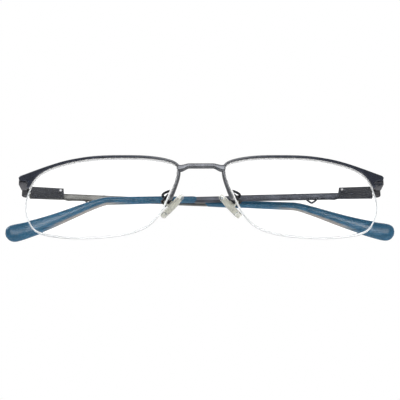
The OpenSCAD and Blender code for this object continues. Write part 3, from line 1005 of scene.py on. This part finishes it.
def pad_arm(side):
    """The wire from the rim's nose end, round a bend, to the pad's box."""
    z = sizes()
    root_uv = ring(NOSE_END + 0.5, z.liner_t + z.rim_nose / 2)
    root = Vector(lens_point(root_uv, z.rim_depth - 0.35, "left")) / MM + SEAT
    foot = pad_vector((PAD_SCREW + 1.7 + z.arm_d / 2 - 0.15, 0, 0))
    turn = foot + Vector((-1.7, -1.2, 1.5))
    to_turn = (root, root + Vector((0.2, 1.8, 0.2)), turn + Vector((-1.5, -1.6, -0.3)), turn)
    to_foot = (turn, turn + Vector((1.2, 1.3, 0.25)), foot + Vector((0.9, 0.6, 1.4)), foot)
    count = 48
    path = []
    for i in range(count + 1):
        t = 2 * i / count
        p = curve3(*to_turn, t) if t < 1 else curve3(*to_foot, t - 1)
        path.append(place(mirrored(p, side)))
    rings = path_rings(path, (1, 0, 0.2), round_ends(path, z.arm_d / 2 * MM), 16)
    finish_mesh(loft(rings), side + "_arm", "front", side + "_pad_arm", "dark_plate")


# ---------------------------------------------------------------- stage


def pale_ground():
    """The floor under the eyeglasses' lowest point."""
    low, high = CAD_BOX[0][2], CAD_BOX[1][2]
    if low >= high:
        raise RuntimeError("the frame's box is empty, so there is nothing to stand a floor under")
    bm = bmesh.new()
    bmesh.ops.create_grid(bm, x_segments=1, y_segments=1, size=FLOOR_SIZE)
    bmesh.ops.translate(bm, vec=(0, 0, low), verts=bm.verts)
    mesh = bpy.data.meshes.new("floor")
    bm.to_mesh(mesh)
    bm.free()
    floor = bpy.data.objects.new("floor", mesh)
    bpy.context.scene.collection.objects.link(floor)
    mesh.materials.append(pale_floor())
    floor.visible_shadow = False


def white_room():
    """A white world that metal sees darker in front, and other rays at set strengths."""
    world = bpy.data.worlds.new("studio")
    bpy.context.scene.world = world
    world.use_nodes = True
    nodes, links = world.node_tree.nodes, world.node_tree.links
    room = nodes["Background"]
    room.inputs["Color"].default_value = (1, 1, 1, 1)
    coords = nodes.new("ShaderNodeTexCoord")
    parts = nodes.new("ShaderNodeSeparateXYZ")
    span = nodes.new("ShaderNodeMapRange")
    span.inputs["From Min"].default_value = -0.9
    span.inputs["From Max"].default_value = 0.9
    span.inputs["To Min"].default_value = ROOM_FRONT
    span.inputs["To Max"].default_value = ROOM_BACK
    links.new(coords.outputs["Generated"], parts.inputs["Vector"])
    links.new(parts.outputs["Y"], span.inputs["Value"])
    links.new(span.outputs["Result"], room.inputs["Strength"])
    rays = nodes.new("ShaderNodeLightPath")
    shader = room.outputs["Background"]
    for kind, strength in ROOM_SEEN.items():
        seen = nodes.new("ShaderNodeBackground")
        seen.inputs["Color"].default_value = (1, 1, 1, 1)
        seen.inputs["Strength"].default_value = strength
        choose = nodes.new("ShaderNodeMixShader")
        links.new(rays.outputs["Is " + kind + " Ray"], choose.inputs["Fac"])
        links.new(shader, choose.inputs[1])
        links.new(seen.outputs["Background"], choose.inputs[2])
        shader = choose.outputs["Shader"]
    links.new(shader, nodes["World Output"].inputs["Surface"])


def soft_lamp(name, spot, size, watts):
    """A rectangular lamp that shines on the eyeglasses."""
    light = bpy.data.lights.new(name, "AREA")
    light.shape = "RECTANGLE"
    light.size, light.size_y = size
    light.energy = watts
    lamp = bpy.data.objects.new(name, light)
    lamp.location = spot
    lamp.rotation_euler = (LAMP_AIM - Vector(spot)).to_track_quat("-Z", "Y").to_euler()
    bpy.context.scene.collection.objects.link(lamp)


def low_camera():
    """A camera in front and below, which looks slightly up at the eyeglasses."""
    camera = bpy.data.cameras.new("camera")
    camera.sensor_width = 36
    camera.lens = CAMERA_LENS
    camera.clip_start = 0.01
    eye = bpy.data.objects.new("camera", camera)
    bpy.context.scene.collection.objects.link(eye)
    ahead = Vector((0, math.cos(CAMERA_PITCH), -math.sin(CAMERA_PITCH)))
    above = Vector((0, math.sin(CAMERA_PITCH), math.cos(CAMERA_PITCH)))
    centre = place((CAMERA_RIGHT, 0, 0)) + above * CAMERA_UP * MM
    eye.location = centre - ahead * CAMERA_AWAY
    eye.rotation_euler = ahead.to_track_quat("-Z", "Y").to_euler()
    bpy.context.scene.camera = eye


# ---------------------------------------------------------------- operators


class SPECTACLES_OT_stage(bpy.types.Operator):
    """Pale floor, soft studio light and the camera"""

    bl_idname = "spectacles.stage"
    bl_label = "Stage"

    def execute(self, context):
        pale_ground()
        white_room()
        context.scene.view_settings.view_transform = "Standard"
        for name, (spot, size, watts) in LAMPS.items():
            soft_lamp(name, spot, size, watts)
        low_camera()
        return {"FINISHED"}


class SPECTACLES_OT_brow_rims(bpy.types.Operator):
    """Half rims along the brow, with their liners"""

    bl_idname = "spectacles.brow_rims"
    bl_label = "Brow Rims"

    def execute(self, context):
        for side in SIDES:
            brow_rim(side)
            rim_liner(side)
        return {"FINISHED"}


class SPECTACLES_OT_lenses(bpy.types.Operator):
    """Curved lenses with a grooved edge, and the nylon line round them"""

    bl_idname = "spectacles.lenses"
    bl_label = "Lenses"

    def execute(self, context):
        for side in SIDES:
            clear_disc(side)
            nylon_line(side)
        return {"FINISHED"}


class SPECTACLES_OT_bridge(bpy.types.Operator):
    """Bridge with its two flared feet"""

    bl_idname = "spectacles.bridge"
    bl_label = "Bridge"

    def execute(self, context):
        bridge_bar()
        return {"FINISHED"}


class SPECTACLES_OT_endpieces(bpy.types.Operator):
    """Endpieces that carry the hinges"""

    bl_idname = "spectacles.endpieces"
    bl_label = "Endpieces"

    def execute(self, context):
        for side in SIDES:
            endpiece(side)
        return {"FINISHED"}


class SPECTACLES_OT_hinges(bpy.types.Operator):
    """Hinge and pad hardware kept from the frame, with softened edges, and the coil springs"""

    bl_idname = "spectacles.hinges"
    bl_label = "Hinges"

    def execute(self, context):
        soft = sizes().soften
        # The spring boxes get the navy enamel darkened as painted shade.
        kept = (
            ("front_hinge", "dark_plate", soft), ("hinge_screw", "polished", soft * 0.7),
            ("hinge_link", "dark_plate", soft * 0.7), ("spring_bush", "bush_brass", 0),
            ("hinge_box", "navy_box", soft * 4.5), ("box_rivet", "bright_steel", soft * 0.7),
            ("pad_box", "dark_plate", soft * 0.8), ("pad_screw", "bright_steel", soft * 0.7))
        for side in SIDES:
            for node, look, width in kept:
                if width:
                    soften_cad(side + "_" + node, width)
                finish_cad(side + "_" + node, look)
            coil_spring(side)
        return {"FINISHED"}


class SPECTACLES_OT_temples(bpy.types.Operator):
    """Temple bars with their core wires and trims"""

    bl_idname = "spectacles.temples"
    bl_label = "Temples"

    def execute(self, context):
        for side in SIDES:
            temple_bar(side)
            core_wire(side)
            temple_trim(side)
        return {"FINISHED"}


class SPECTACLES_OT_tips(bpy.types.Operator):
    """Acetate tips, thin at the sleeve and broad at the end"""

    bl_idname = "spectacles.tips"
    bl_label = "Temple Tips"

    def execute(self, context):
        for side in SIDES:
            temple_tip(side)
        return {"FINISHED"}


class SPECTACLES_OT_nose_pads(bpy.types.Operator):
    """Nose pads with their cores and bosses, and the wire arms that hold them"""

    bl_idname = "spectacles.nose_pads"
    bl_label = "Nose Pads"

    def execute(self, context):
        for side in SIDES:
            pad_body(side)
            for name in PAD_INSERTS:
                pad_insert(side, name)
            pad_arm(side)
        return {"FINISHED"}


class SPECTACLES_PT_panel(bpy.types.Panel):
    bl_label = "Half-rim Eyeglasses"
    bl_idname = "SPECTACLES_PT_panel"
    bl_space_type = "VIEW_3D"
    bl_region_type = "UI"
    bl_category = "Eyeglasses"

    def draw(self, context):
        layout = self.layout
        for group in (context.scene.spectacle_sizes, context.scene.spectacle_finishes):
            box = layout.box()
            for name in group.__annotations__:
                box.prop(group, name)
        for step in STEPS:
            layout.operator(step.bl_idname)


STEPS = (
    SPECTACLES_OT_stage,
    SPECTACLES_OT_brow_rims,
    SPECTACLES_OT_lenses,
    SPECTACLES_OT_bridge,
    SPECTACLES_OT_endpieces,
    SPECTACLES_OT_hinges,
    SPECTACLES_OT_temples,
    SPECTACLES_OT_tips,
    SPECTACLES_OT_nose_pads,
)
CLASSES = (SpectacleSizes, SpectacleFinishes, *STEPS, SPECTACLES_PT_panel)


def register():
    for cls in CLASSES:
        bpy.utils.register_class(cls)
    bpy.types.Scene.spectacle_sizes = PointerProperty(type=SpectacleSizes)
    bpy.types.Scene.spectacle_finishes = PointerProperty(type=SpectacleFinishes)


def unregister():
    del bpy.types.Scene.spectacle_sizes
    del bpy.types.Scene.spectacle_finishes
    for cls in reversed(CLASSES):
        bpy.utils.unregister_class(cls)


def main():
    register()
    for step in STEPS:
        group, name = step.bl_idname.split(".")
        getattr(getattr(bpy.ops, group), name)()


if __name__ == "__main__":
    main()
